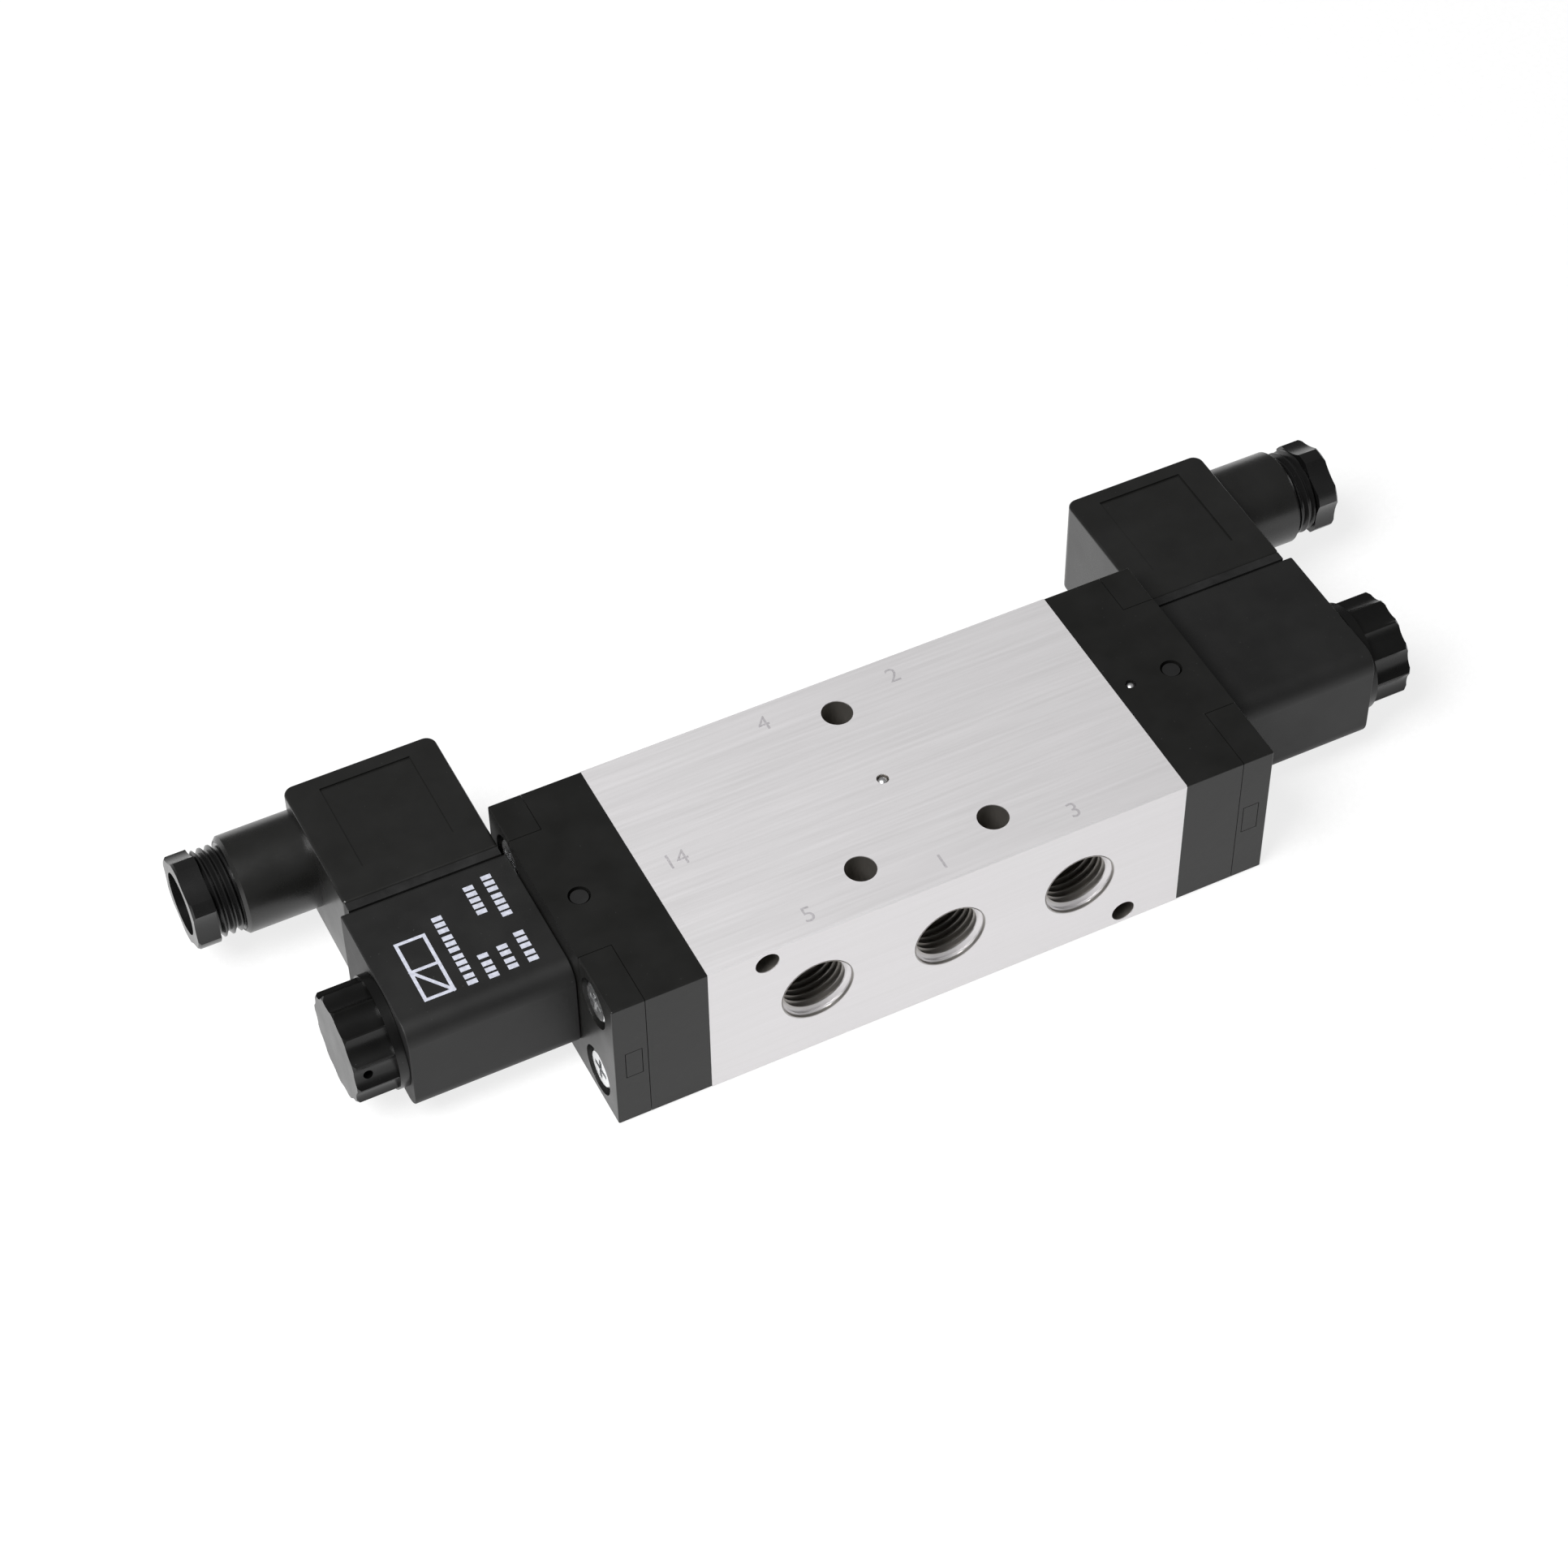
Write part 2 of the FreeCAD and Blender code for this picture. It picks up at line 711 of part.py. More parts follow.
def pilot_plate(name, side):
    """Outer plate of an end cover: it clamps the armature tube and carries the pilot nozzle."""
    inner = "split_out + split_gap"
    base = side_block(side, (inner, "cover_out"), COVER_DEEP, COVER_UP)
    round_edges(base, LONG_EDGES, "cover_edge")
    round_edges(base, ("-x-x" if side < 0 else "+x+x",), "plate_edge")
    front = "body_depth / 2 - cover_inset"
    gap = "fit_gap"
    tools = [
        side_box(side, (f"{inner} - 1", "cover_out + 1"),
                 (f"-tongue_front - {gap}", f"tongue_back + {gap}"),
                 (f"tongue_low - {gap}", "body_height + 1")),
        side_box(side, (f"{inner} - 1", f"boss_out + {gap}"),
                 (f"-boss_half - {gap}", f"boss_half + {gap}"), (f"boss_low - {gap}", "tongue_low")),
        side_box(side, (f"{inner} - 1", f"latch_outer + {gap}"),
                 (f"-{front} + latch_skin - {gap}", f"-{front} + latch_skin + latch_arm + {gap}"),
                 (f"latch_low - {gap}", f"latch_high + {gap}")),
        side_box(side, (f"latch_inner - {gap}", f"latch_outer + {gap}"),
                 (f"-{front} - 1", f"-{front} + latch_skin"), (f"latch_low - {gap}", f"latch_high + {gap}")),
        side_box(side, (f"{inner} - 1", f"{inner} + slot_depth"),
                 ("feed_y - feed_bore / 2", "pilot_y + pilot_drill / 2"),
                 ("feed_z - feed_bore / 2", "pilot_z + pilot_drill / 2")),
        side_bar(side, "feed_bore", inner, "flange_seat_out + 1", "feed_y", "feed_z"),
        ring(side, "flange_seat_dia", "nozzle_dia", "flange_seat_out", "cover_out + 1"),
        side_bar(side, "nozzle_dia + 0.2", "nozzle_out", "cover_out + 2"),
        side_bar(side, "nozzle_bore", f"{inner} - 1", "cover_out + 1"),
    ]
    for y, z in screw_places():
        tools.append(side_bar(side, "screw_clear", f"{inner} - 1", "cover_out + 1", y, z))
        tools.append(side_bar(side, "screw_recess", "screw_seat_out", "cover_out + 1", y, z))
    return node(f"{name}_pilot_plate", cut(base, *tools))


def cover_gaskets():
    """The two gaskets between body and covers: a ring with an ear round the pilot drilling."""
    face = "body_length / 2"
    gaskets = []
    for side in SIDES.values():
        ends = (face, f"{face} + gasket_thick")
        shape = fuse(
            side_bar(side, "gasket_bore - part_gap", *ends),
            side_bar(side, "gasket_ear - part_gap", *ends, "pilot_y", "pilot_z"),
        )
        gaskets.append(cut(
            shape,
            side_bar(side, "piston_bore + part_gap", f"{face} - 1", f"{face} + 2"),
            side_bar(side, "pilot_drill", f"{face} - 1", f"{face} + 2", "pilot_y", "pilot_z"),
        ))
    return node("cover_gaskets", group(*gaskets))


def cover_screws(name, side):
    """Four pan-head screws with a cross recess that clamp one end cover to the body."""
    screws = []
    tip = "body_length / 2 - screw_depth + screw_gap"
    head_top = "screw_seat_out + screw_head_height"
    for y, z in screw_places():
        shape = fuse(
            side_bar(side, "screw_dia", tip, "screw_seat_out + 1", y, z),
            side_bar(side, "screw_head", "screw_seat_out", f"{head_top} - 0.8", y, z),
            side_cone(side, "screw_head", "screw_head - 1.8", f"{head_top} - 0.8", head_top, y, z),
        )
        reach = (f"{head_top} - screw_cross_depth", f"{head_top} + 1")
        wide = ("screw_cross / 2", "screw_cross_width / 2")
        arms = [
            side_box(side, reach, (f"{y} - {a}", f"{y} + {a}"), (f"{z} - {b}", f"{z} + {b}"))
            for a, b in (wide, wide[::-1])
        ]
        screws.append(cut(shape, *arms))
    return node(f"{name}_cover_screws", group(*screws))


def ball_plugs():
    """Two steel balls pressed into drillings: one in the body's top, one in the right cover."""
    spots = (
        ("ball_dia", "0", "body_height - ball_sink - ball_dia / 2"),
        ("cover_ball_dia", "cover_ball_out", "body_height - cover_inset - ball_sink - cover_ball_dia / 2"),
    )
    balls = []
    for dia, x, z in spots:
        ball = doc.addObject("Part::Sphere", "Ball")
        bind(ball, "Radius", f"{dia} / 2")
        bind(ball, "Placement.Base.x", x)
        bind(ball, "Placement.Base.z", z)
        balls.append(ball)
    return node("ball_plugs", group(*balls))


# ---------------------------------------------------------------- springs

def coil_spring(name, mean_dia, wire, length, turns, start, rotation):
    """A round-wire compression spring, standing on its start point."""
    path = Part.makeHelix((length - wire) / turns, length - wire, mean_dia / 2)
    centre = Vector(mean_dia / 2, 0, 0)
    arcs = [Part.makeCircle(wire / 2, centre, Vector(0, 1, 0), turn, turn + 90) for turn in range(0, 360, 90)]
    section = Part.Wire(arcs)
    spring = Part.Wire(path.Edges).makePipeShell([section], True, True)
    item = doc.addObject("Part::Feature", "Spring")
    item.Shape = spring
    item.Placement = FreeCAD.Placement(start + rotation.multVec(Vector(0, 0, wire / 2)), rotation)
    return node(name, item)


# ---------------------------------------------------------------- manual override

def manual_override(name, side):
    """Push pin on top of the cover, with its seal and return spring."""
    spot = (f"{side} * override_out", "0")
    pin = fuse(
        cylinder("z", "override_dia", "override_groove_top", "override_top", spot),
        cylinder("z", "override_groove_dia", "override_groove_low", "override_groove_top", spot),
        cylinder("z", "override_dia", "override_shoulder", "override_groove_low", spot),
        cylinder("z", "override_stem_dia", "override_stem_low", "override_shoulder", spot),
    )
    node(f"{name}_manual_override", pin)
    seal = cut(
        cylinder("z", "override_seal_outer", "override_groove_low", "override_groove_top", spot),
        cylinder("z", "override_groove_dia", "override_groove_low - 1", "override_groove_top + 1", spot),
    )
    node(f"{name}_override_seal", seal)
    slack = size("part_gap") / 2
    floor = size("override_floor") + slack
    length = size("override_shoulder") - slack - floor
    start = Vector(side * size("override_out"), 0, floor)
    coil_spring(f"{name}_override_spring", size("override_spring_dia"), size("override_spring_wire"),
                length, 6, start, Rotation())


# ---------------------------------------------------------------- pilot solenoid

def armature_tube(name, side):
    """Brass guide tube with the flange that the pilot plate holds."""
    solids = fuse(
        side_bar(side, "tube_flange_dia", "tube_flange_in", "tube_flange_out"),
        side_bar(side, "tube_dia", "tube_flange_in", "tube_end"),
    )
    tools = (
        side_bar(side, "tube_relief_dia", "tube_flange_in - 1", "tube_flange_in + tube_relief"),
        side_bar(side, "tube_bore", "tube_flange_in - 1", "tube_end + 1"),
    )
    return node(f"{name}_armature_tube", cut(solids, *tools))


def fixed_core(name, side):
    """Fixed core that closes the tube and ends in the threaded stub for the coil nut."""
    solids = fuse(
        side_bar(side, "tube_bore - 0.04", "core_face", "tube_end + 1"),
        side_bar(side, "tube_dia", "tube_end", "core_shoulder"),
        side_bar(side, "stub_dia", "core_shoulder - 1", "stub_end"),
    )
    return node(f"{name}_fixed_core", solids)


def armature(name, side):
    """Moving armature, the rubber seat in its tip and the return spring in its tail."""
    bar = side_bar(side, "armature_dia", "armature_in", "armature_end")
    tools = (
        side_bar(side, "armature_seal_dia", "armature_in - 1", "armature_in + armature_seal_depth"),
        side_bar(side, "armature_pocket_dia", "armature_pocket_in", "armature_end + 1"),
    )
    node(f"{name}_armature", cut(bar, *tools))
    seal = side_bar(side, "armature_seal_dia", "armature_in", "armature_in + armature_seal_depth")
    node(f"{name}_armature_seal", seal)
    slack = size("part_gap") / 2
    near = size("armature_pocket_in") + slack
    length = size("core_face") - slack - near
    start = Vector(side * near, 0, size("axis_height"))
    turn = Rotation(Vector(0, 1, 0), 90 * side)
    coil_spring(f"{name}_armature_spring", size("armature_spring_dia"), size("armature_spring_wire"),
                length, 6, start, turn)


def blades(side, slack="0"):
    """The three contact blades of a coil, or the slots that they pass through."""
    middle = "(plug_in + plug_out) / 2"
    thick = f"(blade_thick / 2 + {slack})"
    wide = f"(blade_width / 2 + {slack})"
    deep = (f"blade_root - {slack}", f"blade_tip + {slack}")
    shapes = []
    for sign in (-1, 1):
        out = f"{middle} + {sign} * blade_spread"
        shapes.append(side_box(side, (f"{out} - {thick}", f"{out} + {thick}"), deep,
                               (f"axis_height - {wide}", f"axis_height + {wide}")))
    low = "axis_height - earth_drop"
    shapes.append(side_box(side, (f"{middle} - {wide}", f"{middle} + {wide}"), deep,
                           (f"{low} - {thick}", f"{low} + {thick}")))
    return shapes


def yoke_shape(side):
    """Steel bracket round the winding: two end plates joined by a back leg."""
    up = ("axis_height - yoke_half_height", "axis_height + yoke_half_height")
    gap = "part_gap"
    near = (f"winding_in - yoke_thick - {gap}", f"winding_in - {gap}")
    far = (f"winding_out + {gap}", f"winding_out + yoke_thick + {gap}")
    return fuse(
        side_box(side, near, ("-yoke_front", "yoke_back"), up),
        side_box(side, far, ("-yoke_front", "yoke_back"), up),
        side_box(side, (near[0], far[1]), ("yoke_back - yoke_thick", "yoke_back"), up),
    )


def plug_screw_bar(side, dia, start, end):
    """A round bar along Y on the plug's fixing screw."""
    return cylinder("y", dia, start, end, (f"{side} * (plug_in + plug_out) / 2", "axis_height"))


def coil(name, side):
    """Moulded coil: housing, steel yoke, bobbin, winding and contact blades."""
    base = side_block(side, ("coil_in", "coil_out"), ("-coil_front", "coil_back"),
                      ("axis_height - coil_half_height", "axis_height + coil_half_height"))
    round_edges(base, ("-y+z", "-y-z"), "coil_round")
    round_edges(base, ("+y+z", "+y-z"), "coil_edge")
    round_edges(base, ("+x+x", "-x-x"), "coil_rim")
    tools = [
        side_bar(side, "winding_space", "winding_in - 0.15", "winding_out + 0.15"),
        side_bar(side, "coil_bore", "coil_in - 1", "coil_out + 1"),
        yoke_shape(side),
        plug_screw_bar(side, "plug_screw_tap", "blade_root - 0.2", "coil_back + 1"),
        *blades(side),
    ]
    node(f"{name}_coil_housing", cut(base, *tools))
    bore = side_bar(side, "coil_bore", "coil_in", "coil_out")
    node(f"{name}_coil_yoke", cut(yoke_shape(side), bore))
    hub = ("winding_in", "winding_out")
    bobbin = fuse(
        side_bar(side, "bobbin_hub", *hub),
        side_bar(side, "bobbin_flange", "winding_in", "winding_in + bobbin_flange_thick"),
        side_bar(side, "bobbin_flange", "winding_out - bobbin_flange_thick", "winding_out"),
    )
    hole = side_bar(side, "bobbin_bore", "winding_in - 1", "winding_out + 1")
    node(f"{name}_coil_bobbin", cut(bobbin, hole))
    wound = ring(side, "winding_outer", "bobbin_hub",
                 "winding_in + bobbin_flange_thick", "winding_out - bobbin_flange_thick")
    node(f"{name}_coil_winding", wound)
    node(f"{name}_coil_terminals", group(*blades(side)))


def coil_nut(name, side):
    """Plastic coil nut: flange, fluted grip, blind bore and seat for its seal. The left one is vented."""
    near = "coil_out + cover_gap"
    grip = fluted_bar(side, "nut_grip_dia", "nut_flange_out - 0.5", "nut_out", "nut_edge",
                      "nut_flute_dia", "nut_flute_pitch_dia", "nut_flutes", f"{name}_flute_turn")
    solids = fuse(side_bar(side, "nut_flange_dia", near, "nut_flange_out"), grip)
    tools = [
        side_bar(side, "nut_bore", f"{near} - 1", "nut_bore_out"),
        side_bar(side, "nut_seal_dia + part_gap", f"{near} - 1", f"{near} + nut_seal_thick"),
    ]
    if side < 0:
        vent = cylinder("y", "nut_vent", "0", "nut_grip_dia", ("-nut_vent_out", "axis_height"))
        vent.Placement.Rotation = Rotation(Vector(1, 0, 0), size("nut_vent_turn")) * AIM["y"]
        tools.append(vent)
    return node(f"{name}_coil_nut", cut(solids, *tools))


def coil_nut_seals():
    """Rubber rings between the coil nuts and the coils."""
    near = "coil_out + cover_gap"
    rings = [
        ring(side, "nut_seal_dia", "nut_seal_bore", near, f"{near} + nut_seal_thick")
        for side in SIDES.values()
    ]
    return node("coil_nut_seals", group(*rings))


# ---------------------------------------------------------------- plug connector

PLUG_UP = ("axis_height - plug_half_height", "axis_height + plug_half_height")


def plug_housing(name, side):
    """Housing of the plug connector, with its sunk panel and the boss of the cable gland."""
    base = side_block(side, ("plug_in", "plug_out"), ("plug_front", "plug_back"), PLUG_UP)
    round_edges(base, ("-x+y", "+x+y"), "plug_corner")
    round_edges(base, ("-x-y", "+x-y"), "plug_edge")
    round_edges(base, ("+z+z", "-z-z"), "plug_rim")
    edge_in = "gland_end - gland_edge"
    boss = fuse(
        side_bar(side, "gland_dia", "plug_out - plug_wall", edge_in, "gland_y"),
        side_cone(side, "gland_dia", "gland_dia - 2 * gland_edge", edge_in, "gland_end", "gland_y"),
    )
    low, high = PLUG_UP
    tools = [
        side_box(side, ("plug_in + plug_wall", "plug_out - plug_wall"),
                 ("plug_front - 1", "plug_back - plug_back_wall"),
                 (f"{low} + plug_wall", f"{high} - plug_wall")),
        side_box(side, ("panel_in", "panel_out"), ("panel_front", "panel_back"),
                 (f"{high} - panel_depth", f"{high} + 1")),
        side_bar(side, "gland_bore", "gland_floor", "gland_end + 1", "gland_y"),
        side_bar(side, "cable_bore", "plug_out - plug_wall - 1", "gland_floor + 1", "gland_y"),
        plug_screw_bar(side, "plug_screw_hole", "plug_back - plug_back_wall - 1", "plug_back + 1"),
        plug_screw_bar(side, "plug_screw_recess", "plug_back - plug_screw_recess_depth", "plug_back + 1"),
    ]
    return node(f"{name}_plug_housing", cut(fuse(base, boss), *tools))


def plug_insides(name, side):
    """Terminal block, sheet seal and fixing screw of the plug connector."""
    low, high = PLUG_UP
    wall = "(plug_wall + insert_gap)"
    blank = side_box(side, (f"plug_in + {wall}", f"plug_out - {wall}"), ("plug_front", "insert_back"),
                     (f"{low} + {wall}", f"{high} - {wall}"))
    hole = plug_screw_bar(side, "plug_screw_hole", "plug_front - 1", "insert_back + 1")
    node(f"{name}_terminal_block", cut(blank, hole, *blades(side, "blade_gap")))

    margin = "seal_sheet_margin"
    sheet_blank = side_box(side, (f"plug_in + {margin}", f"plug_out - {margin}"), ("coil_back", "plug_front"),
                           (f"{low} + {margin}", f"{high} - {margin}"))
    screw_way = plug_screw_bar(side, "plug_screw_hole", "coil_back - 1", "plug_front + 1")
    node(f"{name}_plug_gasket", cut(sheet_blank, screw_way, *blades(side, "blade_gap")))

    head_low = "plug_back - plug_screw_recess_depth"
    head_top = f"{head_low} + plug_screw_head_height"
    middle = f"{side} * (plug_in + plug_out) / 2"
    screw = fuse(
        plug_screw_bar(side, "plug_screw_dia", "blade_root", f"{head_low} + 1"),
        plug_screw_bar(side, "plug_screw_head", head_low, head_top),
    )
    slot = box(
        (f"{middle} - plug_screw_head", f"{head_top} - 1", "axis_height - plug_screw_slot / 2"),
        (f"{middle} + plug_screw_head", f"{head_top} + 1", "axis_height + plug_screw_slot / 2"),
    )
    node(f"{name}_plug_screw", cut(screw, slot))


def gland_screw(name, side):
    """Compression screw of the cable gland, its head hollowed between six lugs, bored for the cable."""
    head_in = f"{name}_head_in"
    end = f"{head_in} + gland_head"
    head = fluted_bar(side, "gland_head_dia", head_in, end, "gland_head_edge", "gland_hollow_dia",
                      "gland_hollow_pitch_dia", "gland_lugs", f"{name}_hollow_turn", "gland_y")
    solids = fuse(
        head,
        side_bar(side, "thread_root", "gland_end", f"{head_in} + 1", "gland_y"),
        side_bar(side, "thread_crest", f"{head_in} - gland_screw_grip", "gland_end", "gland_y"),
    )
    hole = side_bar(side, "gland_screw_bore", f"{head_in} - gland_screw_grip - 1", f"{end} + 1", "gland_y")
    return node(f"{name}_gland_screw", cut(solids, hole))


def gland_seal(name, side):
    """Rubber bush that the compression screw squeezes round the cable."""
    washer_in = f"{name}_head_in - gland_screw_grip - part_gap - washer_thick"
    shape = ring(side, "gland_seal_dia", "gland_seal_bore", "gland_floor + part_gap",
                 f"{washer_in} - part_gap", "gland_y")
    return node(f"{name}_gland_seal", shape)


def gland_washers():
    """Thrust washers between the compression screws and the rubber bushes."""
    washers = []
    for name, side in SIDES.items():
        far = f"{name}_head_in - gland_screw_grip - part_gap"
        washers.append(ring(side, "washer_dia", "washer_bore", f"{far} - washer_thick", far, "gland_y"))
    return node("gland_washers", group(*washers))


# ---------------------------------------------------------------- assembly

valve_body()
spool()
spool_seals()
spool_spacers()
cover_gaskets()
ball_plugs()
coil_nut_seals()
gland_washers()
for end_name, end_side in SIDES.items():
    end_bush(end_name, end_side)
    piston(end_name, end_side)
    end_cover(end_name, end_side)
    pilot_plate(end_name, end_side)
    cover_screws(end_name, end_side)
    manual_override(end_name, end_side)
    armature_tube(end_name, end_side)
    fixed_core(end_name, end_side)
    armature(end_name, end_side)
    coil(end_name, end_side)
    coil_nut(end_name, end_side)
    plug_housing(end_name, end_side)
    plug_insides(end_name, end_side)
    gland_screw(end_name, end_side)
    gland_seal(end_name, end_side)

doc.recompute()
for item in doc.Objects:
    if "Invalid" in item.State or "Error" in item.State:
        raise RuntimeError(f"{item.Name} ({item.Label}) did not recompute: {item.State}")

os.makedirs("parts", exist_ok=True)
for name, item in nodes.items():
    shape = item.Shape
    if shape.isNull() or not shape.isValid() or not shape.Solids:
        raise RuntimeError(f"{name} has no valid solid")
    shape.exportStep(os.path.join("parts", f"{name}.step"))
    print(f"{name}: {len(shape.Solids)} solid(s), {shape.Volume:.1f} mm3")
print(len(nodes), "nodes")
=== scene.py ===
"""Looks of the solenoid directional valve: finishes, copies of the springs, threads, figures and print,
and the floor, light and camera round it.

X runs along the valve from the left solenoid to the right one, the ports 5, 1 and 3 face -Y and Z is up.
Lengths are in metres, and the origin is the centre of the body's underside.
"""

import math

import bmesh
import bpy
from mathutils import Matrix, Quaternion, Vector


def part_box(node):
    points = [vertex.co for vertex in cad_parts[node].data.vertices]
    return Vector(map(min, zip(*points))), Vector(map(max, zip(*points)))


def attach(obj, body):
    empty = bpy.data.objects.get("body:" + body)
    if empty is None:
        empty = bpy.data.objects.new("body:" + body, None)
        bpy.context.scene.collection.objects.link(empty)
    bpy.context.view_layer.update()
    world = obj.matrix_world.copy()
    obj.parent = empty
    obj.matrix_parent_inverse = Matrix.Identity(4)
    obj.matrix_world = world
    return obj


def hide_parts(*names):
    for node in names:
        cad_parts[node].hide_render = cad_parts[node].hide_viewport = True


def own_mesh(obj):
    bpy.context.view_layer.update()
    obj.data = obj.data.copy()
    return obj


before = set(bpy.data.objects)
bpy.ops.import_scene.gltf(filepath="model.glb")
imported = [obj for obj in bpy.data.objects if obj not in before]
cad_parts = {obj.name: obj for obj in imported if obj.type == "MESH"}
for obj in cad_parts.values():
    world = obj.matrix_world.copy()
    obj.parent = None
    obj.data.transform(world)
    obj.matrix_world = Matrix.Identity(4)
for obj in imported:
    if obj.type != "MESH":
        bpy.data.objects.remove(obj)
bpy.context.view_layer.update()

MM = 0.001
MICRON = 0.001 * MM

# Which way each end of the valve lies along X.
ENDS = {"left": -1, "right": 1}

BODY_LOW, BODY_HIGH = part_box("valve_body")
BODY_HALF = (BODY_HIGH - BODY_LOW) / 2
AXIS_HEIGHT = BODY_HALF.z


# ---------------------------------------------------------------- node helpers

def set_stops(item, stops):
    """Give a colour ramp node its grey levels. Each stop is a place from 0 to 1 and its level."""
    points = item.color_ramp.elements
    while len(points) < len(stops):
        points.new(0.5)
    for point, (place, level) in zip(points, stops):
        point.position = place
        point.color = (level, level, level, 1.0)


class Finish:
    """A node material on one Principled shader, with short ways to add the usual nodes."""

    def __init__(self, name):
        self.material = bpy.data.materials.new(name)
        self.material.use_nodes = True
        self.tree = self.material.node_tree
        self.shader = self.tree.nodes["Principled BSDF"]
        self.place = self.add("ShaderNodeTexCoord").outputs["Object"]

    def add(self, kind, **settings):
        """A new node with some of its properties set."""
        item = self.tree.nodes.new(kind)
        for key, value in settings.items():
            setattr(item, key, value)
        return item

    def link(self, source, target):
        self.tree.links.new(source, target)

    def stretched(self, scale):
        """Object coordinates scaled along each axis, in cycles per metre."""
        mapping = self.add("ShaderNodeMapping")
        self.link(self.place, mapping.inputs["Vector"])
        mapping.inputs["Scale"].default_value = scale
        return mapping.outputs["Vector"]

    def noise(self, scale, detail, roughness, distortion=0.0):
        """Noise of one scale, or of three along the axes, in cycles per metre."""
        item = self.add("ShaderNodeTexNoise")
        scales = scale if isinstance(scale, tuple) else (scale,) * 3
        self.link(self.stretched(scales), item.inputs["Vector"])
        item.inputs["Scale"].default_value = 1.0
        item.inputs["Detail"].default_value = detail
        item.inputs["Roughness"].default_value = roughness
        item.inputs["Distortion"].default_value = distortion
        return item.outputs["Fac"]

    def remap(self, source, low, high, from_low=0.3, from_high=0.7):
        """A source brought from one range to a new one, and held inside it. Noise mostly lies
        between 0.3 and 0.7."""
        item = self.add("ShaderNodeMapRange")
        self.link(source, item.inputs["Value"])
        item.inputs["From Min"].default_value = from_low
        item.inputs["From Max"].default_value = from_high
        item.inputs["To Min"].default_value = low
        item.inputs["To Max"].default_value = high
        return item.outputs["Result"]

    def ramp(self, source, stops):
        """A grey level that follows a source from stop to stop."""
        item = self.add("ShaderNodeValToRGB")
        self.link(source, item.inputs["Fac"])
        set_stops(item, stops)
        return item.outputs["Color"]

    def math(self, operation, first, second):
        """Two values or sockets put together."""
        item = self.add("ShaderNodeMath", operation=operation)
        for number, value in enumerate((first, second)):
            if isinstance(value, float):
                item.inputs[number].default_value = value
            else:
                self.link(value, item.inputs[number])
        return item.outputs["Value"]

    def blend(self, share, first, second):
        """A colour between two others. Each is a socket or three numbers."""
        item = self.add("ShaderNodeMix", data_type="RGBA")
        self.link(share, item.inputs["Factor"])
        for key, value in (("A", first), ("B", second)):
            socket = next(s for s in item.inputs if s.name == key and s.type == "RGBA")
            if isinstance(value, tuple):
                socket.default_value = (*value, 1.0)
            else:
                self.link(value, socket)
        return next(s for s in item.outputs if s.type == "RGBA")

    def bump(self, height, depth, under=None):
        """A bump of some depth in metres, laid over another one."""
        item = self.add("ShaderNodeBump")
        item.inputs["Strength"].default_value = 1.0
        item.inputs["Distance"].default_value = depth
        self.link(height, item.inputs["Height"])
        if under is not None:
            self.link(under, item.inputs["Normal"])
        return item.outputs["Normal"]

    def set(self, **values):
        """Set or link inputs of the shader. Underscores stand for spaces."""
        for key, value in values.items():
            socket = self.shader.inputs[key.replace("_", " ")]
            if isinstance(value, bpy.types.NodeSocket):
                self.link(value, socket)
            elif isinstance(value, tuple):
                socket.default_value = (*value, 1.0)
            else:
                socket.default_value = value


# ---------------------------------------------------------------- finishes

CLOUD_DEPTH = 40 * MICRON
GLOSS_SPREAD = 0.035
SCUFF_ROUGHNESS = 0.07
DUST_COVER = 0.5
DUST_GAIN = 3.0
DUST_LIFT = 0.04


def plastic(name, dark, light, rough, grain, depth, index):
    """Moulded plastic: fine grain, cloudy gloss, a few scuffs and specks of dust."""
    look = Finish(name)
    grains = look.noise(grain, detail=3.0, roughness=0.6)
    clouds = look.noise(140.0, detail=3.0, roughness=0.5)
    scuffs = look.noise((700.0, 2600.0, 2100.0), detail=5.0, roughness=0.7, distortion=1.2)
    dust = look.noise(2400.0, detail=1.0, roughness=0.4)
    tone = look.blend(look.remap(clouds, 0.0, 1.0), dark, light)
    specks = look.remap(dust, 0.0, DUST_COVER, from_low=0.78, from_high=0.84)
    dusty = tuple(min(1.0, DUST_GAIN * part + DUST_LIFT) for part in light)
    tone = look.blend(specks, tone, dusty)
    gloss = look.remap(clouds, rough - GLOSS_SPREAD, rough + GLOSS_SPREAD)
    worn = look.remap(scuffs, 0.0, SCUFF_ROUGHNESS, from_low=0.62, from_high=0.74)
    gloss = look.math("ADD", gloss, worn)
    fine = look.bump(grains, depth)
    look.set(Base_Color=tone, Roughness=gloss, Normal=look.bump(clouds, CLOUD_DEPTH, fine), IOR=index)
    return look.material


def depth_in_body(look):
    """How far a point lies behind the nearest outer face of the body."""
    split = look.add("ShaderNodeSeparateXYZ")
    look.link(look.place, split.inputs["Vector"])
    rise = look.math("SUBTRACT", split.outputs["Z"], AXIS_HEIGHT)
    depths = []
    for half, place in zip(BODY_HALF, (split.outputs["X"], split.outputs["Y"], rise)):
        away = look.math("MAXIMUM", place, look.math("MULTIPLY", place, -1.0))
        depths.append(look.math("SUBTRACT", half, away))
    return look.math("MINIMUM", look.math("MINIMUM", depths[0], depths[1]), depths[2])


RAMP_DEPTH = 4 * MM
# Painted shade: the dark tone laid over the aluminium inside holes and ports, with less roughness and more
# metal there.
HOLE_SHADE_TONE = (0.33, 0.31, 0.285)
HOLE_GLOSS = 0.16
HOLE_METALLIC = 0.85


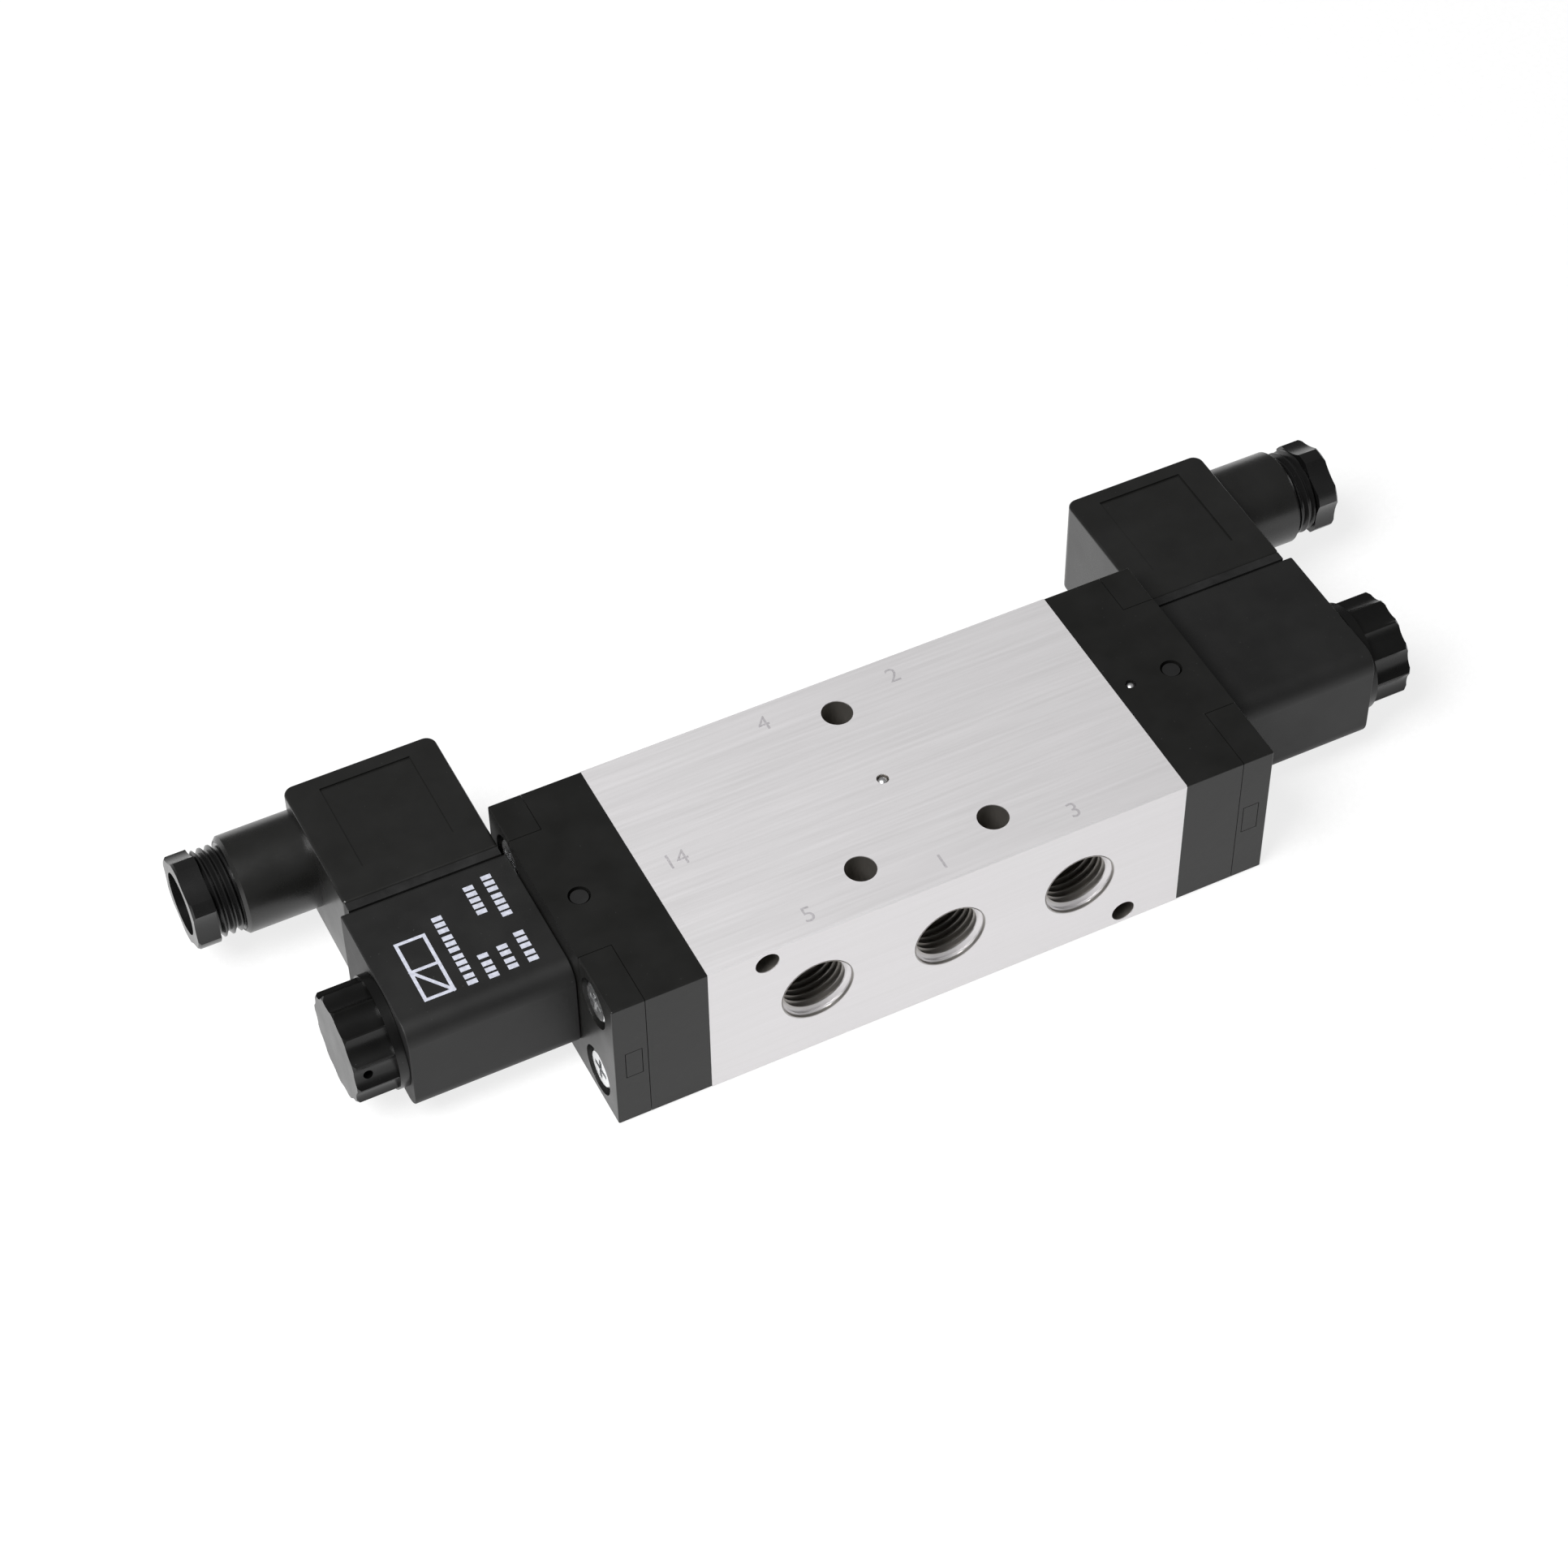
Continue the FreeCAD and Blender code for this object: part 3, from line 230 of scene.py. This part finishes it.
def drawn_aluminium(name, metallic, dark_stops):
    """Brushed aluminium with long streaks along X, some stains, and painted shade inside holes, where it is
    also glossier and more metallic.
    Each stop is a depth in millimetres and how dark the painted shade is there."""
    look = Finish(name)
    broad = look.noise((9.0, 260.0, 260.0), detail=3.0, roughness=0.6)
    streaks = look.noise((38.0, 1500.0, 1500.0), detail=5.0, roughness=0.7)
    hairs = look.noise((120.0, 7000.0, 7000.0), detail=2.0, roughness=0.6)
    stains = look.noise(60.0, detail=2.0, roughness=0.5)
    share_of_ramp = look.math("DIVIDE", depth_in_body(look), RAMP_DEPTH)
    # How much painted shade lies at each depth inside a hole.
    inside = look.ramp(share_of_ramp, [(depth * MM / RAMP_DEPTH, dark) for depth, dark in dark_stops])
    tone = look.blend(look.remap(streaks, 0.0, 1.0), (0.755, 0.74, 0.745), (0.80, 0.785, 0.795))
    tone = look.blend(look.remap(stains, 0.0, 0.2), tone, (0.78, 0.75, 0.77))
    # Painted shade inside holes, by depth.
    tone = look.blend(inside, tone, HOLE_SHADE_TONE)
    gloss = look.math("ADD", look.remap(streaks, 0.46, 0.56), look.remap(broad, -0.02, 0.03))
    gloss = look.math("SUBTRACT", gloss, look.math("MULTIPLY", inside, HOLE_GLOSS))
    fine = look.bump(hairs, 1.2 * MICRON)
    look.set(
        Base_Color=tone,
        Roughness=gloss,
        Metallic=look.remap(inside, metallic, HOLE_METALLIC, from_low=0.0, from_high=1.0),
        Normal=look.bump(streaks, 2 * MICRON, fine),
    )
    return look.material


MARK_SPREAD = 0.06
WEAR_SPREAD = 0.05


def turned_metal(name, dark, light, rough, scale):
    """Turned, ground or plated metal: fine tool marks on a slightly uneven tone."""
    look = Finish(name)
    marks = look.noise(scale, detail=4.0, roughness=0.6)
    clouds = look.noise(220.0, detail=3.0, roughness=0.5)
    marked = look.remap(marks, rough - MARK_SPREAD, rough + MARK_SPREAD)
    look.set(
        Base_Color=look.blend(look.remap(clouds, 0.0, 1.0), dark, light),
        Roughness=look.math("ADD", marked, look.remap(clouds, 0.0, WEAR_SPREAD)),
        Metallic=1.0,
        Normal=look.bump(marks, 1.5 * MICRON),
    )
    return look.material


def rubber(name):
    """Matt black rubber with a dusty bloom."""
    look = Finish(name)
    grains = look.noise(3800.0, detail=3.0, roughness=0.6)
    bloom = look.noise(260.0, detail=4.0, roughness=0.6)
    look.set(
        Base_Color=look.blend(look.remap(bloom, 0.0, 1.0), (0.005, 0.005, 0.005), (0.011, 0.011, 0.011)),
        Roughness=look.remap(bloom, 0.45, 0.60),
        Normal=look.bump(grains, 6 * MICRON),
    )
    return look.material


def white_print(name):
    """White pad print, thin in places."""
    look = Finish(name)
    patches = look.noise(1500.0, detail=4.0, roughness=0.6)
    look.set(
        Base_Color=look.blend(look.remap(patches, 0.0, 1.0), (0.42, 0.43, 0.50), (0.58, 0.60, 0.68)),
        Roughness=look.remap(patches, 0.4, 0.55),
        Normal=look.bump(patches, 2 * MICRON),
    )
    return look.material


def stamped_mark(name):
    """The slightly darker, rougher metal of a stamped figure."""
    look = Finish(name)
    grit = look.noise(2600.0, detail=4.0, roughness=0.7)
    look.set(
        Base_Color=look.blend(look.remap(grit, 0.0, 1.0), (0.54, 0.52, 0.54), (0.70, 0.68, 0.70)),
        Roughness=look.remap(grit, 0.45, 0.65),
        Metallic=0.65,
        Normal=look.bump(grit, 8 * MICRON),
    )
    return look.material


PLASTICS = {
    # darkest tone, lightest tone, roughness, grain per metre, depth of the grain, index of refraction
    "cover_plastic": ((0.0072, 0.0072, 0.0067), (0.0105, 0.0105, 0.0100), 0.33, 3600.0, 7 * MICRON, 1.39),
    "coil_plastic": ((0.0080, 0.0080, 0.0079), (0.0112, 0.0112, 0.0110), 0.52, 2600.0, 8 * MICRON, 1.41),
    "plug_plastic": ((0.0075, 0.0075, 0.0070), (0.0105, 0.0105, 0.0100), 0.29, 3000.0, 6 * MICRON, 1.55),
    "nut_plastic": ((0.0020, 0.0020, 0.0019), (0.0036, 0.0036, 0.0034), 0.30, 3600.0, 6 * MICRON, 1.42),
    "gland_plastic": ((0.0050, 0.0050, 0.0050), (0.0075, 0.0075, 0.0075), 0.25, 3600.0, 6 * MICRON, 1.5),
    "override_plastic": ((0.008, 0.008, 0.008), (0.016, 0.016, 0.016), 0.38, 4200.0, 6 * MICRON, 1.45),
    "spacer_plastic": ((0.66, 0.63, 0.55), (0.76, 0.74, 0.66), 0.45, 3000.0, 6 * MICRON, 1.5),
}
METALS = {
    # darkest tone, lightest tone, roughness, tool marks per metre along each axis
    "bright_steel": ((0.84, 0.84, 0.85), (0.92, 0.92, 0.93), 0.30, (900.0, 900.0, 900.0)),
    "zinc_steel": ((0.78, 0.79, 0.80), (0.90, 0.90, 0.90), 0.26, (1400.0, 1400.0, 1400.0)),
    "spring_steel": ((0.42, 0.42, 0.43), (0.58, 0.58, 0.59), 0.28, (2000.0, 2000.0, 2000.0)),
    "core_steel": ((0.50, 0.50, 0.50), (0.64, 0.64, 0.64), 0.30, (5000.0, 300.0, 300.0)),
    "brass": ((0.68, 0.50, 0.22), (0.78, 0.60, 0.30), 0.24, (5000.0, 300.0, 300.0)),
    "copper": ((0.55, 0.24, 0.12), (0.70, 0.34, 0.19), 0.30, (4200.0, 200.0, 200.0)),
}
FINISHES = {slot: plastic(slot.replace("_", " "), *look) for slot, look in PLASTICS.items()}
FINISHES |= {slot: turned_metal(slot.replace("_", " "), *look) for slot, look in METALS.items()}
FINISHES["seal_rubber"] = rubber("seal rubber")

# Painted shade on the body, only inside its holes. A port has a painted dark rim, a lead-in left bright and a
# thread with painted shade that gets darker inwards.
BORE_STOPS = [(0.13, 0.0), (0.25, 1.0)]
THREAD_STOPS = [(0.0, 0.85), (0.5, 0.85), (0.62, 0.0), (1.35, 0.0), (1.7, 0.7), (3.8, 1.0)]
FINISHES["body_aluminium"] = drawn_aluminium("drawn aluminium", 0.5, BORE_STOPS)
CUT_THREAD = drawn_aluminium("cut thread", 0.85, THREAD_STOPS)
PRINT = white_print("white print")
STAMPED = stamped_mark("stamped mark")

for cad_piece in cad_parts.values():
    for number, material in enumerate(cad_piece.data.materials):
        slot = material.name.split(".")[0]
        cad_piece.data.materials[number] = FINISHES[slot]


# ---------------------------------------------------------------- pieces

def new_mesh(name, points, faces, finish):
    """A mesh from points and faces, with one finish."""
    mesh = bpy.data.meshes.new(name)
    mesh.from_pydata(points, [], faces)
    mesh.validate()
    mesh.materials.append(finish)
    return mesh


def add_piece(name, mesh):
    """A new piece that rides on the fixed body of the valve."""
    piece = bpy.data.objects.new(name, mesh)
    bpy.context.scene.collection.objects.link(piece)
    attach(piece, "valve")
    return piece


WELD_REACH = 0.0001 * MM


def weld(mesh):
    """Join points that coincide, drop faces that collapsed and turn the rest outwards."""
    shape = bmesh.new()
    shape.from_mesh(mesh)
    bmesh.ops.remove_doubles(shape, verts=shape.verts, dist=WELD_REACH)
    bmesh.ops.dissolve_degenerate(shape, edges=shape.edges, dist=WELD_REACH)
    bmesh.ops.recalc_face_normals(shape, faces=shape.faces)
    shape.to_mesh(mesh)
    shape.free()


# ---------------------------------------------------------------- springs


def working_spring(name):
    """A copy of a CAD spring that stands in for it."""
    coils = add_piece(f"{name}_coils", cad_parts[name].data.copy())
    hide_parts(name)
    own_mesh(coils)


for end, side in ENDS.items():
    working_spring(f"{end}_armature_spring")
    working_spring(f"{end}_override_spring")


# ---------------------------------------------------------------- threads

TURN_STEPS = 72
FLANK_STEPS = 4
FLAT_SHARE = 0.17
RUNOUT_SHARE = 0.4
CREASE = math.radians(25)


def thread_profile():
    """Places across one pitch, its ridge in the middle, and heights from 0 at the root to 1 at the crest.
    Crest and root have a short flat each, and the root's last point is left to the next turn."""
    flank = 0.5 - FLAT_SHARE
    rising = []
    for step in range(FLANK_STEPS + 1):
        share = step / FLANK_STEPS
        rising.append((-0.5 + FLAT_SHARE / 2 + share * flank, share))
    falling = [(-place, height) for place, height in reversed(rising)]
    return [(-0.5, 0.0)] + rising + falling


THREAD_PROFILE = thread_profile()


def thread_section(shift, pitch, root, crest, back, length, mouth=None):
    """Depths and radii round a section of the thread, where its ridge lies deeper by a share of a pitch.
    The ridge runs out at both ends, and a 45 degree lead-in from the mouth radius may cut it back."""
    runout = RUNOUT_SHARE * pitch
    turns = math.ceil(length / pitch) + 2
    section = []
    for turn in range(turns):
        for place, height in THREAD_PROFILE:
            depth = pitch * (turn - 1 + place + shift)
            depth = min(max(depth, 0.0), length)
            fade = min(1.0, depth / runout, (length - depth) / runout)
            radius = root + (crest - root) * height * fade
            if mouth is not None:
                radius = min(root, max(radius, mouth - depth))
            section.append((depth, radius))
    return section + [(length, back), (0.0, back)]


def thread(name, origin, inward, sideways, finish, size):
    """A ring with a helical ridge on one side and a smooth wall at the back radius. It starts at the
    origin and runs inward, and its first section lies sideways of the axis."""
    inward = Vector(inward)
    sideways = Vector(sideways)
    third = inward.cross(sideways)
    points = []
    for step in range(TURN_STEPS + 1):
        angle = 2 * math.pi * step / TURN_STEPS
        spoke = math.cos(angle) * sideways + math.sin(angle) * third
        section = thread_section(step / TURN_STEPS, **size)
        points += [Vector(origin) + depth * inward + radius * spoke for depth, radius in section]
    around = len(section)
    faces = []
    for step in range(TURN_STEPS):
        for spot in range(around):
            here = step * around + spot
            beside = step * around + (spot + 1) % around
            faces.append((here, beside, beside + around, here + around))
    mesh = new_mesh(name, points, faces, finish)
    weld(mesh)
    mesh.shade_smooth()
    mesh.set_sharp_from_angle(angle=CREASE)
    add_piece(name, mesh)


PORT_PITCH = 25 * MM
PORT_THREAD = {
    "pitch": 1.337 * MM,
    "root": 6.55 * MM,
    "crest": 5.72 * MM,
    "back": 6.62 * MM,
    "length": 11.6 * MM,
    "mouth": 7.1 * MM,
}
# Each port's place along X, in pitches, and its side of the body along Y.
PORT_PLACES = {"5": (-1, -1), "1": (0, -1), "3": (1, -1), "4": (-0.5, 1), "2": (0.5, 1)}
for port, (place, side) in PORT_PLACES.items():
    thread(
        f"port_{port}_thread",
        origin=(place * PORT_PITCH, side * BODY_HALF.y, AXIS_HEIGHT),
        inward=(0, -side, 0),
        sideways=(1, 0, 0),
        finish=CUT_THREAD,
        size=PORT_THREAD,
    )

GLAND_THREAD = {"pitch": 1.5 * MM, "root": 7.17 * MM, "crest": 7.93 * MM, "back": 7.0 * MM}
GLAND_HEAD_HEIGHT = 4.1 * MM


def reach(node, side):
    """How far a node reaches along X towards one end of the valve."""
    low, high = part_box(node)
    return max(side * low.x, side * high.x)


for end, side in ENDS.items():
    boss_end = reach(f"{end}_plug_housing", side)
    head_start = reach(f"{end}_gland_screw", side) - GLAND_HEAD_HEIGHT
    screw_low, screw_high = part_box(f"{end}_gland_screw")
    thread(
        f"{end}_gland_thread",
        origin=(side * boss_end, (screw_low.y + screw_high.y) / 2, AXIS_HEIGHT),
        inward=(side, 0, 0),
        sideways=(0, 1, 0),
        finish=FINISHES["gland_plastic"],
        size=GLAND_THREAD | {"length": head_start - boss_end},
    )


# ---------------------------------------------------------------- port numbers and print

BAR_STEP = 0.04


def flat_bars(name, bars, level, thickness, finish):
    """Thin upright blocks on a level face, each a little higher than the last, so that crossings stay clean.
    Each bar is four corners, as X and Y."""
    points = []
    faces = []
    for number, corners in enumerate(bars):
        start = len(points)
        rise = thickness * (1 + BAR_STEP * number)
        points += [(x, y, level - thickness) for x, y in corners]
        points += [(x, y, level + rise) for x, y in corners]
        faces.append(tuple(start + step for step in (3, 2, 1, 0)))
        faces.append(tuple(start + step for step in (4, 5, 6, 7)))
        for step in range(4):
            after = (step + 1) % 4
            faces.append((start + step, start + after, start + after + 4, start + step + 4))
    add_piece(name, new_mesh(name, points, faces, finish))


def stroke(start, end, width):
    """The four corners of a straight stroke between two points."""
    start = Vector(start)
    end = Vector(end)
    along = (end - start).normalized() * width / 2
    across = Vector((-along.y, along.x))
    return [
        tuple(start - along - across),
        tuple(end + along - across),
        tuple(end + along + across),
        tuple(start - along + across),
    ]


FIGURE_HEIGHT = 3.2 * MM
FONT_CAP_SHARE = 0.69
MARK_RISE = 8 * MICRON
PORT_NUMBERS = {
    # middle of each figure on the top of the body, in millimetres
    "14": (-39.0, -0.5),
    "5": (-24.7, -21.0),
    "1": (0.3, -21.0),
    "3": (25.3, -21.0),
    "4": (-12.4, 20.4),
    "2": (12.6, 20.4),
}


def stamped_figure(figure, x, y):
    """One port number, a hair above the top of the body."""
    curve = bpy.data.curves.new(f"figure {figure}", "FONT")
    curve.body = figure
    curve.size = FIGURE_HEIGHT / FONT_CAP_SHARE
    curve.align_x = "CENTER"
    curve.align_y = "CENTER"
    curve.extrude = MARK_RISE
    lettering = bpy.data.objects.new(f"figure {figure}", curve)
    bpy.context.scene.collection.objects.link(lettering)
    bpy.context.view_layer.update()
    mesh = bpy.data.meshes.new_from_object(lettering)
    bpy.data.objects.remove(lettering)
    for vertex in mesh.vertices:
        vertex.co += Vector((x * MM, y * MM, BODY_HIGH.z))
    weld(mesh)
    mesh.materials.clear()
    mesh.materials.append(STAMPED)
    add_piece(f"port_number_{figure}", mesh)


for figure, (x, y) in PORT_NUMBERS.items():
    stamped_figure(figure, x, y)

PRINT_RISE = 12 * MICRON
PRINT_ROWS = [
    # outer edge of the row along X and start of its first block along Y, in millimetres, blocks in each group
    (-79.2, -5.6, (2, 3, 3, 3)),
    (-75.5, -5.9, (3, 1)),
    (-71.9, -5.6, (2, 2)),
    (-68.3, -5.6, (2, 3)),
    (-71.9, 7.4, (5,)),
    (-68.3, 5.2, (4, 3)),
]
BLOCK_HEIGHT = 1.8
BLOCK_WIDTH = 0.98
BLOCK_GAP = 0.42
GROUP_GAP = 0.3


def print_blocks():
    """Rows of plain blocks in place of words, each block as four corners."""
    bars = []
    for outer, start, groups in PRINT_ROWS:
        near = outer * MM
        far = (outer + BLOCK_HEIGHT) * MM
        place = start
        for blocks in groups:
            for _ in range(blocks):
                low = place * MM
                high = (place + BLOCK_WIDTH) * MM
                bars.append([(far, low), (far, high), (near, high), (near, low)])
                place += BLOCK_WIDTH + BLOCK_GAP
            place += GROUP_GAP
    return bars


SYMBOL_X = (-86.6 * MM, -81.6 * MM)
SYMBOL_Y = (-5.2 * MM, 7.6 * MM)
SYMBOL_LINE = 0.62 * MM


def valve_symbol():
    """A box with a line across the middle and a slanting line in its front half."""
    outer, inner = SYMBOL_X
    front, back = SYMBOL_Y
    middle = (front + back) / 2
    corners = [(outer, front), (outer, back), (inner, back), (inner, front)]
    lines = list(zip(corners, corners[1:] + corners[:1]))
    lines.append(((outer, middle), (inner, middle)))
    lines.append(((inner, front), (outer, middle)))
    return [stroke(start, end, SYMBOL_LINE) for start, end in lines]


coil_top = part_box("left_coil_housing")[1].z
flat_bars("left_coil_print", print_blocks() + valve_symbol(), coil_top, PRINT_RISE, PRINT)


# ---------------------------------------------------------------- floor, light and camera

FLOOR_REACH = 6.0
FLOOR_LEVEL = -0.05 * MM


def pale_floor():
    """A large pale sheet that glows, so that the valve's shadow on it is faint."""
    look = Finish("pale floor")
    grain = look.noise(900.0, detail=3.0, roughness=0.5)
    look.set(
        Base_Color=look.blend(look.remap(grain, 0.0, 1.0), (0.20, 0.20, 0.20), (0.23, 0.23, 0.23)),
        Roughness=look.remap(grain, 0.7, 0.85),
        Normal=look.bump(grain, 20 * MICRON),
        Emission_Color=(1.0, 1.0, 1.0),
        Emission_Strength=0.80,
    )
    sides = ((-1, -1), (1, -1), (1, 1), (-1, 1))
    corners = [(x * FLOOR_REACH, y * FLOOR_REACH, FLOOR_LEVEL) for x, y in sides]
    floor = bpy.data.objects.new("floor", new_mesh("floor", corners, [(0, 1, 2, 3)], look.material))
    bpy.context.scene.collection.objects.link(floor)


def soft_light(name, place, aim, size, power):
    """A square soft box."""
    lamp = bpy.data.lights.new(name, "AREA")
    lamp.shape = "SQUARE"
    lamp.size = size
    lamp.energy = power
    item = bpy.data.objects.new(name, lamp)
    item.location = place
    item.rotation_mode = "QUATERNION"
    item.rotation_quaternion = (Vector(aim) - Vector(place)).to_track_quat("-Z", "Y")
    bpy.context.scene.collection.objects.link(item)


WORLD_STOPS = [(0.0, 0.9), (0.03, 0.16), (0.45, 0.14), (0.75, 0.19), (1.0, 0.18)]


def surroundings():
    """White below the horizon and dark above it. The stops run from the horizon to the zenith."""
    world = bpy.data.worlds.new("studio")
    bpy.context.scene.world = world
    world.use_nodes = True
    tree = world.node_tree
    place = tree.nodes.new("ShaderNodeTexCoord")
    split = tree.nodes.new("ShaderNodeSeparateXYZ")
    ramp = tree.nodes.new("ShaderNodeValToRGB")
    tree.links.new(place.outputs["Generated"], split.inputs["Vector"])
    tree.links.new(split.outputs["Z"], ramp.inputs["Fac"])
    set_stops(ramp, WORLD_STOPS)
    background = tree.nodes["Background"]
    tree.links.new(ramp.outputs["Color"], background.inputs["Color"])
    background.inputs["Strength"].default_value = 1.0


CAMERA_PLACE = Vector((-0.2004, -0.3767, 0.5095))
CAMERA_FORWARD = Vector((0.288505, 0.597771, -0.747954))
CAMERA_ROLL = math.radians(1.0)
CAMERA_LENS = 86.93


def photo_camera():
    """A long lens from the upper left front, rolled by one degree."""
    lens = bpy.data.cameras.new("camera")
    lens.lens = CAMERA_LENS
    lens.sensor_width = 36.0
    lens.clip_start = 0.01
    lens.clip_end = 50.0
    camera = bpy.data.objects.new("camera", lens)
    camera.location = CAMERA_PLACE
    camera.rotation_mode = "QUATERNION"
    roll = Quaternion((0.0, 0.0, 1.0), -CAMERA_ROLL)
    camera.rotation_quaternion = CAMERA_FORWARD.to_track_quat("-Z", "Y") @ roll
    bpy.context.scene.collection.objects.link(camera)
    bpy.context.scene.camera = camera


pale_floor()
surroundings()
soft_light("key", place=(-0.64, -0.17, 0.96), aim=(0.0, 0.01, 0.015), size=0.60, power=18.8)
photo_camera()
bpy.context.scene.view_settings.view_transform = "Standard"
